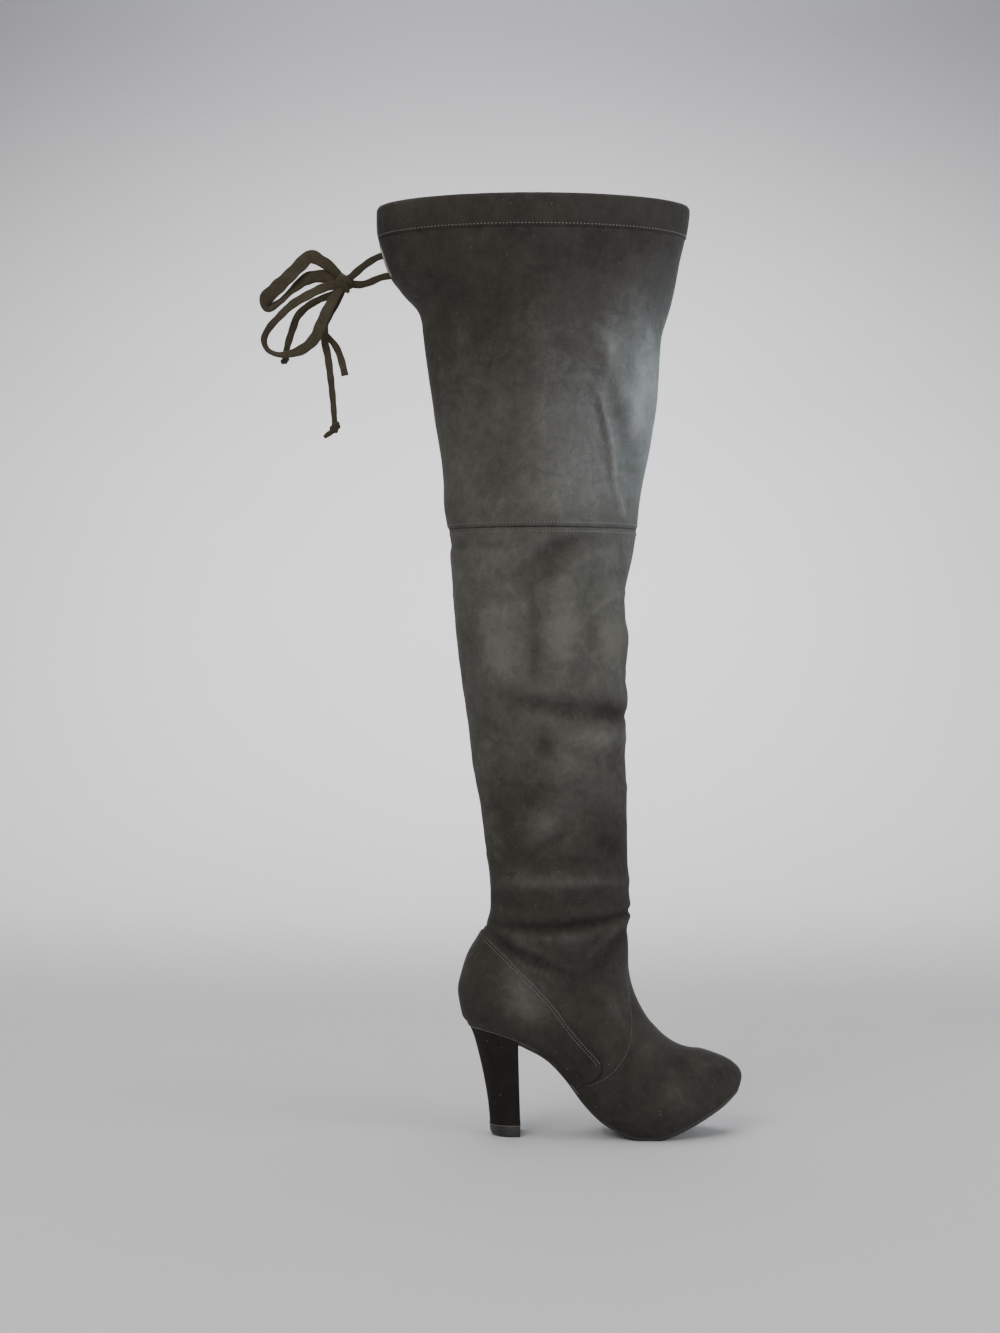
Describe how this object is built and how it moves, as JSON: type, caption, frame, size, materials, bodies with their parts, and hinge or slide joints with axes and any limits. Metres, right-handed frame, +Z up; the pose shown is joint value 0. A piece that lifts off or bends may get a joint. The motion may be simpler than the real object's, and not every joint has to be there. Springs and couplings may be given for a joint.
{
  "type": "thigh high boot",
  "caption": "Thigh-high suede boot for the right foot with a covered block heel, hidden platform, rounded toe, knee seam and a drawstring bow tied at the back of the collar.",
  "frame": {"origin": "middle of the heel's flat face on the floor", "axes": "+Z up the leg, +X towards the toe, -Y towards the outer side of the right foot"},
  "size_m": [0.3902, 0.1314, 0.75],
  "materials": {
    "suede": "matte brushed microsuede",
    "dark_suede": "matte microsuede stretched over a core",
    "rubber": "satin black",
    "lining": "matte woven lining",
    "cord_suede": "matte flat suede lace"
  },
  "bodies": {
    "root": {"outsole": "rubber", "platform": "dark_suede", "insole": "lining", "heel_block": "dark_suede", "top_lift": "rubber", "upper": "suede", "counter": "suede", "shaft": "suede", "collar_casing": "suede", "drawstring_outer": "cord_suede", "drawstring_inner": "cord_suede", "bow_knot": "cord_suede", "bow_lower_loop": "cord_suede", "bow_upper_loop": "cord_suede", "bow_inner_end": "cord_suede", "bow_hanging_end": "cord_suede", "bow_short_end": "cord_suede", "inner_end_knot": "cord_suede", "hanging_end_knot": "cord_suede"}
  },
  "joints": []
}
